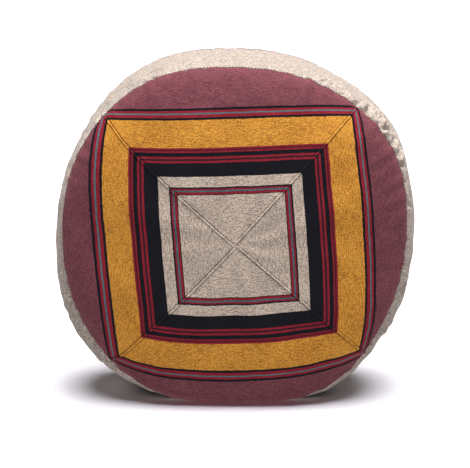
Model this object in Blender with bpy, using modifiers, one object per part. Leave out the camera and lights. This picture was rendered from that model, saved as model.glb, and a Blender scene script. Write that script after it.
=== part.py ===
"""A round floor cushion, standing on its edge: two domed faces of four mitred panels each, a side
band with a zip let into it, a calico liner and its filling.

Metres, +Z up. The front face looks along -Y. The origin is on the floor, under the middle of the
cushion. Angles run round the cushion's axis, from 0 at the floor to 90 degrees at +X.
"""

import math

import bmesh
import bpy
from mathutils import Matrix, Vector

# The cushion's overall form.
SEAM_RADIUS = 0.219  # from the cushion's axis to the seam that joins a face to the band
BAND_WIDTH = 0.110  # from the front seam to the back seam
BAND_BULGE = 0.011  # how far the middle of the band stands out past its seams
CROWN = 0.052  # how far the middle of a face stands out past its seam
FLOOR_DENT = 0.0065  # how much its own weight flattens the rim where it stands
SEAM_LIP = 0.003  # how far a face runs straight out of its seam before it turns inwards

# Cloth.
COVER_CLOTH = 0.0012
LINER_CLOTH = 0.0008
PLY_GAP = 0.0005  # between cover and liner, and between liner and filling
SEAM_GAP = 0.0004  # between two pieces that a seam joins
PANELS_PER_FACE = 4

# The zip, let into the middle of the band.
ZIP_START_DEG = 35.0  # where its top end is
ZIP_LENGTH = 0.28
TAPE_WIDTH = 0.0124
TAPE_CLOTH = 0.0006
TAPE_GAP = 0.0009  # between the facings and the tapes under them
TAPE_TUCK = 0.012  # length of tape that runs on under the band at each end
TEETH_WIDTH = 0.0024
TEETH_HEIGHT = 0.0016
STOP_LENGTH = 0.003
ZIP_CLEARANCE = 0.0004  # between the zip's pieces
FACING_CLEARANCE = 0.0006  # between the slider and the folded edges of the facings
LINER_EASE = 0.0030  # how much less the liner bulges than the band, which leaves the zip its room

# The slider and its pull.
SLIDER_LENGTH = 0.009
SLIDER_WALL = 0.0008
FLANGE_WALL = 0.00055
POST_WALL = 0.0006
BAIL_WIDTH = 0.0014
BAIL_WALL = 0.0007
BAIL_REACH = 0.0018  # half the length of the space inside the bail
PULL_LENGTH = 0.024
PULL_THICKNESS = 0.0010
PULL_ARM = 0.0012  # width of each arm beside the window that the bail passes through
PULL_PLAY = 0.0006  # between the bail and each arm
PULL_PIN = 0.0009  # thickness of the crossbar that turns in the bail

# Fineness of the facets.
FACE_STEP_DEG = 7.5
BAND_STEP_DEG = 5.0
ZIP_STEP_DEG = 2.5
FACE_ROWS = 6
BAND_ROWS = 6
ZIP_ROWS = 3

# What follows from those sizes.
BAND_RADIUS = SEAM_RADIUS + BAND_BULGE
AXIS_HEIGHT = BAND_RADIUS - FLOOR_DENT
AXIS_POINT = Vector((0.0, 0.0, AXIS_HEIGHT))
LINER_INSET = COVER_CLOTH + PLY_GAP
FILLING_INSET = LINER_INSET + LINER_CLOTH + PLY_GAP
TAPE_INSET = COVER_CLOTH + TAPE_GAP
CHAIN_GAP = POST_WALL + 2 * ZIP_CLEARANCE  # between the two rows of teeth, where the post runs
CHAIN_EDGE = CHAIN_GAP / 2 + TEETH_WIDTH
SLIDER_INSIDE = CHAIN_EDGE + ZIP_CLEARANCE
SLIDER_EDGE = SLIDER_INSIDE + FLANGE_WALL
FACING_EDGE = SLIDER_EDGE + FACING_CLEARANCE
TEETH_BASE = BAND_RADIUS - TAPE_INSET + ZIP_CLEARANCE
TEETH_TOP = TEETH_BASE + TEETH_HEIGHT
PLATE_BASE = TEETH_TOP + ZIP_CLEARANCE
PLATE_TOP = PLATE_BASE + SLIDER_WALL
PULL_PIVOT = PLATE_TOP + PULL_PIN / 2 + ZIP_CLEARANCE
PULL_WIDTH = BAIL_WIDTH + 2 * (PULL_ARM + PULL_PLAY)
PULL_WINDOW = 2 * (BAIL_REACH + BAIL_WALL)
ZIP_END_DEG = ZIP_START_DEG + math.degrees(ZIP_LENGTH / BAND_RADIUS)


def arc_deg(length):
    """The angle that a length along the middle of the band takes up."""
    return math.degrees(length / BAND_RADIUS)


SLIDER_DEG = ZIP_START_DEG + arc_deg(STOP_LENGTH + 3 * ZIP_CLEARANCE + SLIDER_LENGTH / 2)


def clear_scene():
    for obj in list(bpy.data.objects):
        bpy.data.objects.remove(obj, do_unlink=True)


def collection(name):
    made = bpy.data.collections.new(name)
    bpy.context.scene.collection.children.link(made)
    return made


def material(name, colour, roughness, metallic=0.0):
    made = bpy.data.materials.new(name)
    made.use_nodes = True
    shader = made.node_tree.nodes["Principled BSDF"]
    shader.inputs["Base Color"].default_value = (*colour, 1.0)
    shader.inputs["Roughness"].default_value = roughness
    shader.inputs["Metallic"].default_value = metallic
    return made


def place(radius, y, angle_deg):
    """The point at that radius and angle round the cushion's axis."""
    angle = math.radians(angle_deg)
    return Vector((radius * math.sin(angle), y, AXIS_HEIGHT - radius * math.cos(angle)))


def face_profile(side, inset):
    """(radius, y) from the centre of a face to its seam: a quarter of an ellipse, then the lip. side
    is -1 at the front and 1 at the back, and inset is the depth below the cover's surface."""
    foot = BAND_WIDTH / 2 + SEAM_GAP / 2
    rise = CROWN - SEAM_LIP
    points = []
    for row in range(FACE_ROWS + 1):
        turn = math.radians(90.0 * row / FACE_ROWS)
        surface = Vector((SEAM_RADIUS * math.sin(turn), rise * math.cos(turn)))
        normal = Vector((rise * math.sin(turn), SEAM_RADIUS * math.cos(turn))).normalized()
        radius, height = surface - normal * inset
        points.append((radius, side * (foot + SEAM_LIP + height)))
    points.append((SEAM_RADIUS - inset, side * foot))
    return points


def band_radius(y, inset, ease):
    """The band's radius at y, inset from the cover's surface. ease takes some of its bulge away."""
    share = 1 - (2 * y / BAND_WIDTH) ** 2
    return SEAM_RADIUS - inset + (BAND_BULGE - ease) * share


def band_profile(y_from, y_to, inset, ease=0.0, rows=BAND_ROWS):
    ys = [y_from + (y_to - y_from) * row / rows for row in range(rows + 1)]
    return [(band_radius(y, inset, ease), y) for y in ys]


def spun(name, profile, from_deg, to_deg, step_deg):
    """A bmesh of the profile turned round the cushion's axis."""
    mesh = bmesh.new()
    start = [mesh.verts.new(place(radius, y, from_deg)) for radius, y in profile]
    edges = [mesh.edges.new(pair) for pair in zip(start, start[1:])]
    whole_turn = abs(to_deg - from_deg) > 359.9
    bmesh.ops.spin(
        mesh,
        geom=start + edges,
        cent=AXIS_POINT,
        axis=Vector((0.0, -1.0, 0.0)),
        angle=math.radians(to_deg - from_deg),
        steps=max(1, round((to_deg - from_deg) / step_deg)),
        use_merge=whole_turn,
    )
    bmesh.ops.remove_doubles(mesh, verts=mesh.verts, dist=0.00001)
    return mesh


def face_outwards(mesh):
    """Turns the faces of a piece of shell to look away from the cushion's middle."""
    mesh.normal_update()
    outward = sum(f.normal.dot(f.calc_center_median() - AXIS_POINT) for f in mesh.faces)
    if outward < 0:
        bmesh.ops.reverse_faces(mesh, faces=mesh.faces)


def rest_on_floor(mesh, inset):
    """Flattens the rim where it stands, each ply above the one outside it."""
    for vert in mesh.verts:
        vert.co.z = max(vert.co.z, inset)


def finish(name, mesh, parts, finish_material):
    data = bpy.data.meshes.new(name)
    mesh.to_mesh(data)
    mesh.free()
    data.materials.append(finish_material)
    data.shade_smooth()
    obj = bpy.data.objects.new(name, data)
    parts.objects.link(obj)
    return obj


def cloth_piece(name, mesh, inset, thickness, parts, finish_material, shift=Vector()):
    """A ply of cloth: the turned surface, flattened at the floor and thickened inwards."""
    face_outwards(mesh)
    rest_on_floor(mesh, inset)
    bmesh.ops.translate(mesh, verts=mesh.verts, vec=shift)
    obj = finish(name, mesh, parts, finish_material)
    shell = obj.modifiers.new("Cloth", "SOLIDIFY")
    shell.thickness = thickness
    shell.offset = -1.0
    shell.use_even_offset = True
    return obj


def face_panels(parts, side, end_name, stripes):
    """The mitred panels of one face, each moved outwards a little so that the mitres stay open."""
    width = 360.0 / PANELS_PER_FACE
    for index, where in enumerate(("bottom", "right", "top", "left")):
        middle = index * width
        mesh = spun(where, face_profile(side, 0.0), middle - width / 2, middle + width / 2, FACE_STEP_DEG)
        outwards = (place(1.0, 0.0, middle) - AXIS_POINT).normalized()
        opening = SEAM_GAP / 2 / math.sin(math.radians(width / 2))
        name = f"{end_name}_panel_{where}"
        cloth_piece(name, mesh, 0.0, COVER_CLOTH, parts, stripes, outwards * opening)


def band_piece(name, parts, cloth, ys, degrees, inset=0.0, thickness=COVER_CLOTH, ease=0.0, step=BAND_STEP_DEG,
               rows=BAND_ROWS):
    mesh = spun(name, band_profile(*ys, inset, ease, rows), *degrees, step)
    return cloth_piece(name, mesh, inset, thickness, parts, cloth)


def side_band(parts, tweed):
    """The long piece of the band, from one end of the zip round to the other."""
    edge = BAND_WIDTH / 2 - SEAM_GAP / 2
    half_gap = arc_deg(SEAM_GAP / 2)
    around = (ZIP_END_DEG + half_gap, 360.0 + ZIP_START_DEG - half_gap)
    band_piece("side_band", parts, tweed, (-edge, edge), around)


def zip_facings_and_tapes(parts, tweed, tape_cloth):
    """The two strips of band beside the zip, and the two tapes sewn under them."""
    half_gap = arc_deg(SEAM_GAP / 2)
    facing_ends = (ZIP_START_DEG + half_gap, ZIP_END_DEG - half_gap)
    tape_ends = (ZIP_START_DEG - arc_deg(TAPE_TUCK), ZIP_END_DEG + arc_deg(TAPE_TUCK))
    for side, where in ((-1, "front"), (1, "back")):
        ys = (side * FACING_EDGE, side * (BAND_WIDTH / 2 - SEAM_GAP / 2))
        band_piece(f"zip_facing_{where}", parts, tweed, ys, facing_ends, step=ZIP_STEP_DEG, rows=ZIP_ROWS)
        ys = (side * CHAIN_GAP / 2, side * (CHAIN_GAP / 2 + TAPE_WIDTH))
        band_piece(f"zip_tape_{where}", parts, tape_cloth, ys, tape_ends, inset=TAPE_INSET, thickness=TAPE_CLOTH,
                   step=ZIP_STEP_DEG, rows=ZIP_ROWS)


def ring_block(name, parts, finish_material, ys, degrees):
    """A bar as high as the zip's teeth, bent to the band."""
    y_low, y_high = ys
    corners = [(TEETH_BASE, y_low), (TEETH_TOP, y_low), (TEETH_TOP, y_high), (TEETH_BASE, y_high)]
    mesh = bmesh.new()
    ring = [mesh.verts.new(place(radius, y, degrees[0])) for radius, y in corners]
    section = mesh.faces.new(ring)
    bmesh.ops.spin(
        mesh,
        geom=ring + section.edges[:] + [section],
        cent=AXIS_POINT,
        axis=Vector((0.0, -1.0, 0.0)),
        angle=math.radians(degrees[1] - degrees[0]),
        steps=max(1, round((degrees[1] - degrees[0]) / ZIP_STEP_DEG)),
    )
    bmesh.ops.recalc_face_normals(mesh, faces=mesh.faces)
    return finish(name, mesh, parts, finish_material)


def zip_chain(parts, teeth, metal):
    """The two rows of teeth, the stop above each row and the one that joins their bottom ends."""
    stop_deg = arc_deg(STOP_LENGTH)
    gap_deg = arc_deg(ZIP_CLEARANCE)
    first = ZIP_START_DEG + stop_deg + gap_deg
    last = ZIP_END_DEG - stop_deg - gap_deg
    for side, where in ((-1, "front"), (1, "back")):
        ys = sorted((side * CHAIN_GAP / 2, side * CHAIN_EDGE))
        ring_block(f"zip_teeth_{where}", parts, teeth, ys, (first, last))
        ring_block(f"zip_top_stop_{where}", parts, metal, ys, (ZIP_START_DEG + gap_deg, first - gap_deg))
    ends = (last + gap_deg, ZIP_END_DEG - gap_deg)
    ring_block("zip_bottom_stop", parts, metal, (-CHAIN_EDGE, CHAIN_EDGE), ends)


def band_frame(angle_deg, radius):
    """A frame on the band: X runs along it towards larger angles, Y along +Y and Z inwards."""
    angle = math.radians(angle_deg)
    along = Vector((math.cos(angle), 0.0, math.sin(angle)))
    across = Vector((0.0, 1.0, 0.0))
    frame = Matrix((along, across, along.cross(across))).transposed().to_4x4()
    frame.translation = place(radius, 0.0, angle_deg)
    return frame


def extruded(name, outlines, width, frame, parts, finish_material):
    """A flat shape, a list of closed outlines with any holes, made width thick about its plane."""
    curve = bpy.data.curves.new(name, "CURVE")
    curve.dimensions = "2D"
    curve.fill_mode = "BOTH"
    curve.extrude = width / 2
    for outline in outlines:
        spline = curve.splines.new("POLY")
        spline.points.add(len(outline) - 1)
        for point, (x, y) in zip(spline.points, outline):
            point.co = (x, y, 0.0, 1.0)
        spline.use_cyclic_u = True
    guide = bpy.data.objects.new(name + "_outline", curve)
    bpy.context.scene.collection.objects.link(guide)
    bpy.context.view_layer.update()
    graph = bpy.context.evaluated_depsgraph_get()
    data = bpy.data.meshes.new_from_object(guide.evaluated_get(graph))
    bpy.data.objects.remove(guide, do_unlink=True)
    mesh = bmesh.new()
    mesh.from_mesh(data)
    bpy.data.meshes.remove(data)
    bmesh.ops.remove_doubles(mesh, verts=mesh.verts, dist=0.00001)
    bmesh.ops.transform(mesh, matrix=frame, verts=mesh.verts)
    bmesh.ops.recalc_face_normals(mesh, faces=mesh.faces)
    return finish(name, mesh, parts, finish_material)


def rectangle(x_low, y_low, x_high, y_high):
    return [(x_low, y_low), (x_high, y_low), (x_high, y_high), (x_low, y_high)]


def slider_section():
    """The slider across the band, as (y, height above the cover's surface): two plates joined by the
    post between the rows of teeth, and a flange down each side of the upper plate."""
    post = POST_WALL / 2
    top, under_top = PLATE_TOP - BAND_RADIUS, PLATE_BASE - BAND_RADIUS
    flange_foot = TEETH_BASE - BAND_RADIUS
    lower_top = -TAPE_INSET - TAPE_CLOTH - ZIP_CLEARANCE
    lower_foot = lower_top - SLIDER_WALL
    right = [
        (SLIDER_EDGE, lower_foot),
        (SLIDER_EDGE, lower_top),
        (post, lower_top),
        (post, under_top),
        (SLIDER_INSIDE, under_top),
        (SLIDER_INSIDE, flange_foot),
        (SLIDER_EDGE, flange_foot),
        (SLIDER_EDGE, top),
    ]
    return right + [(-y, height) for y, height in reversed(right)]


def bail_outlines():
    """The bail along the band, as (along, height above the cover's surface): an arch and the space in it."""
    foot = PLATE_TOP - BAND_RADIUS - SLIDER_WALL / 2
    space_foot = PLATE_TOP - BAND_RADIUS
    space_top = PULL_PIVOT - BAND_RADIUS + PULL_PIN / 2 + ZIP_CLEARANCE
    reach = BAIL_REACH + BAIL_WALL
    arch = rectangle(-reach, foot, reach, space_top + BAIL_WALL)
    return [arch, rectangle(-BAIL_REACH, space_foot, BAIL_REACH, space_top)]


def zip_slider(parts, helpers, metal):
    frame = band_frame(SLIDER_DEG, BAND_RADIUS)
    along, across, outwards = (frame.to_3x3() @ Vector(axis) for axis in ((1, 0, 0), (0, 1, 0), (0, 0, -1)))
    section_frame = Matrix((across, outwards, across.cross(outwards))).transposed().to_4x4()
    section_frame.translation = frame.translation
    slider = extruded("zip_slider", [slider_section()], SLIDER_LENGTH, section_frame, parts, metal)
    bail_frame = Matrix((along, outwards, along.cross(outwards))).transposed().to_4x4()
    bail_frame.translation = frame.translation
    bail = extruded("slider_bail", bail_outlines(), BAIL_WIDTH, bail_frame, helpers, metal)
    bail.hide_render = True
    bail.display_type = "WIRE"
    join = slider.modifiers.new("Bail", "BOOLEAN")
    join.operation = "UNION"
    join.solver = "EXACT"
    join.object = bail


def zip_pull(parts, metal):
    """The pull, hanging straight down from the bail, its crossbar on the hinge's axis."""
    half_width, pin = PULL_WIDTH / 2, PULL_PIN / 2
    corner = PULL_WIDTH / 4
    tab = [
        (-half_width, -pin),
        (half_width, -pin),
        (half_width, PULL_LENGTH - corner),
        (half_width - corner, PULL_LENGTH),
        (corner - half_width, PULL_LENGTH),
        (-half_width, PULL_LENGTH - corner),
    ]
    arm = half_width - PULL_ARM
    window = rectangle(-arm, pin, arm, pin + PULL_WINDOW)
    across, down = Vector((0.0, 1.0, 0.0)), Vector((0.0, 0.0, -1.0))
    frame = Matrix((across, down, across.cross(down))).transposed().to_4x4()
    pull = extruded("zip_pull", [tab, window], PULL_THICKNESS, frame, parts, metal)
    pull.location = place(PULL_PIVOT, 0.0, SLIDER_DEG)


def liner(parts, calico):
    """The inner bag: a disc for each face and a band between them."""
    for side, where in ((-1, "front"), (1, "back")):
        mesh = spun(where, face_profile(side, LINER_INSET), -45.0, 315.0, FACE_STEP_DEG)
        cloth_piece(f"liner_{where}", mesh, LINER_INSET, LINER_CLOTH, parts, calico)
    edge = BAND_WIDTH / 2 - SEAM_GAP / 2
    band_piece("liner_band", parts, calico, (-edge, edge), (-45.0, 315.0), inset=LINER_INSET, thickness=LINER_CLOTH,
               ease=LINER_EASE, step=FACE_STEP_DEG)


def filling(parts, fibre):
    """The fibre, one solid body that fills the liner."""
    front = face_profile(-1, FILLING_INSET)
    edge = BAND_WIDTH / 2 - SEAM_GAP / 2
    middle = band_profile(-edge, edge, FILLING_INSET, LINER_EASE)[1:-1]
    back = list(reversed(face_profile(1, FILLING_INSET)))
    mesh = spun("filling", front + middle + back, -45.0, 315.0, FACE_STEP_DEG)
    rest_on_floor(mesh, FILLING_INSET)
    bmesh.ops.recalc_face_normals(mesh, faces=mesh.faces)
    finish("filling", mesh, parts, fibre)


def build():
    clear_scene()
    parts = collection("floor_cushion")
    helpers = collection("helpers")
    stripes = material("striped_cotton", (0.42, 0.15, 0.17), 0.85)
    tweed = material("oatmeal_tweed", (0.62, 0.56, 0.49), 0.9)
    calico = material("calico", (0.80, 0.76, 0.66), 0.9)
    fibre = material("fibre", (0.86, 0.84, 0.80), 1.0)
    tape_cloth = material("zip_tape", (0.55, 0.49, 0.42), 0.85)
    teeth = material("zip_teeth", (0.50, 0.44, 0.37), 0.45)
    metal = material("zip_metal", (0.62, 0.50, 0.30), 0.35, 1.0)
    face_panels(parts, -1, "front", stripes)
    face_panels(parts, 1, "back", stripes)
    side_band(parts, tweed)
    zip_facings_and_tapes(parts, tweed, tape_cloth)
    zip_chain(parts, teeth, metal)
    zip_slider(parts, helpers, metal)
    zip_pull(parts, metal)
    liner(parts, calico)
    filling(parts, fibre)


build()
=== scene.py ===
"""Look of the floor cushion: striped domed faces, tweed band, zip, liner and filling, on a white floor."""

import math

import bmesh
import bpy
import numpy as np
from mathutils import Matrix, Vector


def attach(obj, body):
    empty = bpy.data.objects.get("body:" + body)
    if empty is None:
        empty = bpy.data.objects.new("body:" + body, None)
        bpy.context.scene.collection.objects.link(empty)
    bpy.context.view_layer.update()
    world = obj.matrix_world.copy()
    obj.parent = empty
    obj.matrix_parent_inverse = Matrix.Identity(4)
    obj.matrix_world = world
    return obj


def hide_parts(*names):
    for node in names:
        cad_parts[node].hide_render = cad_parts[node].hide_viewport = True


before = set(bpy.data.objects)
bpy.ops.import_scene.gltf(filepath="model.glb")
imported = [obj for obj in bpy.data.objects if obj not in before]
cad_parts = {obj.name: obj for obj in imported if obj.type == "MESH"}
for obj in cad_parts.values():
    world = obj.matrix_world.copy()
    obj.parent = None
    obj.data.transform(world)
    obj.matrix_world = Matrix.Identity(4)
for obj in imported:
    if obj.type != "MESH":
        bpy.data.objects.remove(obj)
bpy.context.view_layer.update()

# ---------------- sizes, in metres

AXIS_HEIGHT = 0.2235        # the cushion's round axis above the floor
BAND_WIDTH = 0.110          # between the two seams
CROWN = 0.052               # how far each face bulges past its seam
SEAM_RADIUS = 0.219         # the seams' usual distance from the axis
SEAM_DEPTH = 0.0026         # how deep the cloth turns in at a seam
SEAM_THREAD_LIFT = 0.0016   # how far its thread stands out of that groove
BAND_RADIUS = 0.230         # the middle of the band, where the zip runs
COVER_CLOTH = 0.0012
LINER_CLOTH = 0.0008
PLY_GAP = 0.0006
LINER_DEPTH = 0.0062        # from the cover's surface to the liner's
FILLING_DEPTH = LINER_DEPTH + LINER_CLOTH + PLY_GAP
FOOT_ROUNDING = 0.003       # how softly the flattened foot leaves the floor
SIDES = (("front", -1), ("back", 1))

# Control values of the outline, one every 30 degrees from +X, counter-clockwise as the front face is seen.
SEAM_RADII = (0.2173, 0.2264, 0.2200, 0.2140, 0.2239, 0.2229,
              0.2187, 0.2260, 0.2339, 0.2253, 0.2355, 0.2220)
BAND_BULGES = (0.0108, 0.0095, 0.0035, 0.0026, 0.0032, 0.0038,
               0.0090, 0.0220, 0.0167, 0.0111, 0.0159, 0.0188)
BACK_LIFTS = (0.0, 0.0010, 0.0010, 0.0010, 0.0005, 0.0,
              0.0, 0.0, 0.0, 0.0, 0.0, 0.0)      # how much higher the back seam lies than the front one

ZIP_START = math.radians(35)     # angles of the zip go from the floor, at 0, towards +X
ZIP_END = ZIP_START + 0.280 / BAND_RADIUS
ZIP_FROM = ZIP_START - math.pi / 2      # the same two angles from +X
ZIP_TO = ZIP_END - math.pi / 2

# Distances of the stripe edges from the middle of the cloth.
STRIPES = (
    (0.0000, "beige"),
    (0.0645, "dark"), (0.0659, "red"), (0.0681, "teal"), (0.0709, "red"), (0.0731, "dark"),
    (0.0745, "beige"),
    (0.0875, "navy"),
    (0.1054, "red"), (0.1084, "dark"), (0.1100, "red"), (0.1128, "navy"),
    (0.1184, "red"), (0.1204, "maroon"), (0.1228, "red"),
    (0.1246, "mustard"),
    (0.1596, "navy"), (0.1628, "red"), (0.1666, "grey_teal"), (0.1689, "red"), (0.1722, "navy"),
    (0.1750, "plum"),
)

# Creases of the band: angle in degrees, place across the band, half length in metres, depth, width.
BAND_CREASES = ((66.8, -0.84, 0.012, 0.0042, 0.0028), (60.0, -0.80, 0.010, 0.0024, 0.0028),
                (53.5, -0.70, 0.016, 0.0076, 0.0044), (47.0, -0.85, 0.010, 0.0034, 0.0028),
                (43.0, -0.74, 0.012, 0.0056, 0.0032), (38.7, -0.62, 0.022, 0.0100, 0.0040),
                (34.6, -0.70, 0.014, 0.0076, 0.0040), (30.0, -0.82, 0.011, 0.0036, 0.0028),
                (26.5, -0.66, 0.014, 0.0050, 0.0034), (22.0, -0.84, 0.011, 0.0028, 0.0028),
                (118.0, -0.82, 0.012, 0.0026, 0.0030), (139.0, -0.78, 0.014, 0.0044, 0.0030),
                (148.0, -0.70, 0.012, 0.0028, 0.0030), (206.0, -0.72, 0.015, 0.0034, 0.0032),
                (228.0, -0.78, 0.013, 0.0030, 0.0030), (326.0, -0.76, 0.013, 0.0034, 0.0030),
                (341.0, -0.70, 0.013, 0.0026, 0.0030), (8.0, -0.74, 0.013, 0.0024, 0.0030))

# Creases of the front face: angle in degrees, distance from the seam, half length, depth.
FACE_CREASES = ((66.4, 0.010, 0.020, 0.0020), (41, 0.008, 0.012, 0.0009), (356, 0.010, 0.016, 0.0008),
                (172, 0.012, 0.018, 0.0007), (222, 0.009, 0.012, 0.0009), (318, 0.009, 0.012, 0.0009))
FACE_CREASE_WIDTH = 0.0026


# ---------------- numbers

def curve(a, b, c, d, share):
    """A smooth curve from b to c, led by the points before and after them."""
    return b + 0.5 * share * (c - a + share * (2 * a - 5 * b + 4 * c - d + share * (3 * (b - c) + d - a)))


def periodic(points, angle):
    """A smooth closed curve through points that lie at equal steps of angle."""
    values = np.asarray(points, float)
    count = len(values)
    place = (np.asarray(angle) / (2 * math.pi) * count) % count
    index = np.floor(place).astype(int)
    part = place - index
    a, b, c, d = (values[(index + shift) % count] for shift in (-1, 0, 1, 2))
    return curve(a, b, c, d, part)


def smooth(low, high, value):
    """0 up to low, 1 from high on, and a soft step between."""
    part = np.clip((np.asarray(value, float) - low) / (high - low), 0, 1)
    return part * part * (3 - 2 * part)


def soft_max(value, floor, width):
    """The larger of value and floor, with a rounded corner."""
    above = np.asarray(value, float) - floor
    return floor + 0.5 * (above + np.sqrt(above * above + width * width))


class Waves:
    """A smooth random field of an angle and a distance, from a seeded sum of sines."""

    def __init__(self, seed, turns, across, count=24):
        random = np.random.default_rng(seed)
        self.turns = np.round(random.uniform(*turns, count))
        self.across = random.uniform(-1, 1, count) * across
        self.phase = random.uniform(0, 2 * math.pi, count)
        self.scale = math.sqrt(2 / count)

    def __call__(self, angle, distance):
        total = np.zeros(np.broadcast(angle, distance).shape)
        for turns, across, phase in zip(self.turns, self.across, self.phase):
            total += np.sin(turns * angle + across * distance + phase)
        return total * self.scale


def radial(angle):
    """The way out from the cushion's axis."""
    return np.stack([np.cos(angle), 0 * angle, np.sin(angle)], -1)


def around(angle, middle, width):
    """1 at the middle angle, falling to 0 at width away from it, in degrees."""
    away = np.abs((np.degrees(angle) - middle + 180) % 360 - 180)
    return 1 - smooth(0, width, away)


# ---------------- the cover's shape

# Random fields: seed, fewest and most waves round the rim, waves per metre across, number of waves.
pucker_fine = Waves(3, (90, 150), 60)
pucker_long = Waves(5, (42, 80), 40)
lump_field = Waves(7, (3, 14), 30, 16)
band_creases = Waves(11, (24, 46), 70)
strength_field = Waves(13, (2, 9), 0, 10)
seam_scallops = Waves(19, (26, 62), 1.0)


def foot_share(angle):
    """0 on the upper half, rising to 1 at the floor."""
    return np.clip(-np.sin(angle), 0, 1) ** 2


def seam_radius(angle, across=-1.0):
    """Distance of a seam from the axis; across is -1 at the front seam and 1 at the back one."""
    size = (0.0003 + 0.0008 * around(angle, 46, 40)) * (0.6 - 0.4 * across) * np.abs(across) ** 6
    scallops = size * seam_scallops(angle, across * 2)
    return periodic(SEAM_RADII, angle) + periodic(BACK_LIFTS, angle) * (1 + across) / 2 + scallops


def zip_share(angle):
    """1 along the zip's arc, 0 away from it."""
    from_floor = angle + math.pi / 2
    from_floor = (from_floor + math.pi) % (2 * math.pi) - math.pi
    rise = smooth(ZIP_START - 0.22, ZIP_START - 0.04, from_floor)
    fall = 1 - smooth(ZIP_END + 0.04, ZIP_END + 0.22, from_floor)
    return rise * fall


def zip_hold(angle, across, reach=0.30):
    """1 on the zip's line, which keeps its place, and 0 away from it."""
    return zip_share(angle) * np.exp(-(across / reach) ** 2)


def pucker_strength(angle):
    """How strongly the seam gathers: most in the upper right and the lower corners."""
    base = 0.55 + 0.25 * strength_field(angle, 0)
    corners = around(angle, 48, 34) + 0.6 * around(angle, 215, 40) + 0.6 * around(angle, 325, 36)
    return np.clip(base, 0.2, 1.2) + 0.9 * corners


def seam_relief(angle, distance):
    """Gathers that stand square to a seam and fade away from it."""
    fade = np.exp(-distance / 0.011)
    long_fade = np.exp(-distance / 0.024)
    rise = smooth(0, 0.004, distance)
    strength = pucker_strength(angle)
    return rise * strength * (0.00045 * pucker_fine(angle, distance) * fade
                              + 0.00060 * pucker_long(angle, distance) * long_fade)


def crease(angle, reach, at_degrees, at_reach, half_length, depth, width, slant=0.0):
    """A soft dent that runs across a seam, with a low ridge on each side."""
    aside = ((angle - math.radians(at_degrees) + math.pi) % (2 * math.pi) - math.pi) * SEAM_RADIUS
    aside = aside + slant * (reach - at_reach)
    shape = np.exp(-(aside / width) ** 2) - 0.45 * np.exp(-((np.abs(aside) / width - 2.2) / 1.05) ** 2)
    return -depth * shape * np.exp(-((reach - at_reach) / half_length) ** 2)


def seam_groove(distance):
    """How deep the cloth turns in as it reaches its seam."""
    return SEAM_DEPTH * np.clip(1 - distance / 0.0042, 0, 1) ** 2.2


def face_surface(angle, share, side, depth=0.0):
    """A point of a face: share is 0 at the middle and 1 at the seam; side is -1 in front, 1 behind."""
    foot = foot_share(angle)
    power = 2.0 + 0.8 * foot
    radius = (seam_radius(angle, side) - depth) * share
    crown = (CROWN - depth) * np.clip(1 - share ** power, 0, 1) ** (1 / power)
    x = radius * np.cos(angle)
    z = AXIS_HEIGHT + radius * np.sin(angle)
    y = side * (BAND_WIDTH / 2 + crown)
    return np.stack([x, y, soft_max(z, depth, FOOT_ROUNDING)], -1)


def band_surface(angle, across, depth=0.0):
    """A point of the band: across goes from -1 at the front seam to 1 at the back seam."""
    seam = seam_radius(angle, across)
    bulge = periodic(BAND_BULGES, angle)
    full = 1 - np.abs(across) ** 3
    radius = seam + bulge * full
    held = zip_hold(angle, across)
    radius = radius * (1 - held) + BAND_RADIUS * held - depth
    x = radius * np.cos(angle)
    z = AXIS_HEIGHT + radius * np.sin(angle)
    y = across * BAND_WIDTH / 2
    return np.stack([x, y + 0 * x, soft_max(z, depth, FOOT_ROUNDING)], -1)


ANGLE_STEPS = 720
ARC_STEPS = 240
table_angle = np.linspace(0, 2 * math.pi, ANGLE_STEPS, endpoint=False)
table_share = np.sin(np.linspace(0, math.pi / 2, 400))


def arc_tables():
    """For each angle: the face's length from its middle to its seam, and the share at equal steps of it."""
    grid_angle, grid_share = np.meshgrid(table_angle, table_share, indexing="ij")
    points = face_surface(grid_angle, grid_share, -1)
    points[..., 2] = AXIS_HEIGHT + seam_radius(grid_angle) * grid_share * np.sin(grid_angle)
    steps = np.linalg.norm(np.diff(points, axis=1), axis=2)
    lengths = np.concatenate([np.zeros((ANGLE_STEPS, 1)), np.cumsum(steps, axis=1)], axis=1)
    total = lengths[:, -1]
    shares = np.empty((ANGLE_STEPS, ARC_STEPS + 1))
    for row in range(ANGLE_STEPS):
        shares[row] = np.interp(np.linspace(0, total[row], ARC_STEPS + 1), lengths[row], table_share)
    return total, shares


face_length, share_table = arc_tables()


def length_at(angle):
    """The length of the face's cloth from its middle to its seam."""
    place = (angle / (2 * math.pi) * ANGLE_STEPS) % ANGLE_STEPS
    low = np.floor(place).astype(int) % ANGLE_STEPS
    part = place - np.floor(place)
    return face_length[low] * (1 - part) + face_length[(low + 1) % ANGLE_STEPS] * part


def share_at(angle, arc):
    """The share of the way to the seam at which that length of cloth has been used."""
    place = (angle / (2 * math.pi) * ANGLE_STEPS) % ANGLE_STEPS
    row = np.floor(place).astype(int) % ANGLE_STEPS
    row_part = place - np.floor(place)
    step = np.clip(arc / length_at(angle), 0, 1) * ARC_STEPS
    column = np.minimum(np.floor(step).astype(int), ARC_STEPS - 1)
    part = step - column
    next_row = (row + 1) % ANGLE_STEPS
    here = share_table[row, column] * (1 - part) + share_table[row, column + 1] * part
    there = share_table[next_row, column] * (1 - part) + share_table[next_row, column + 1] * part
    return here * (1 - row_part) + there * row_part


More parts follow.
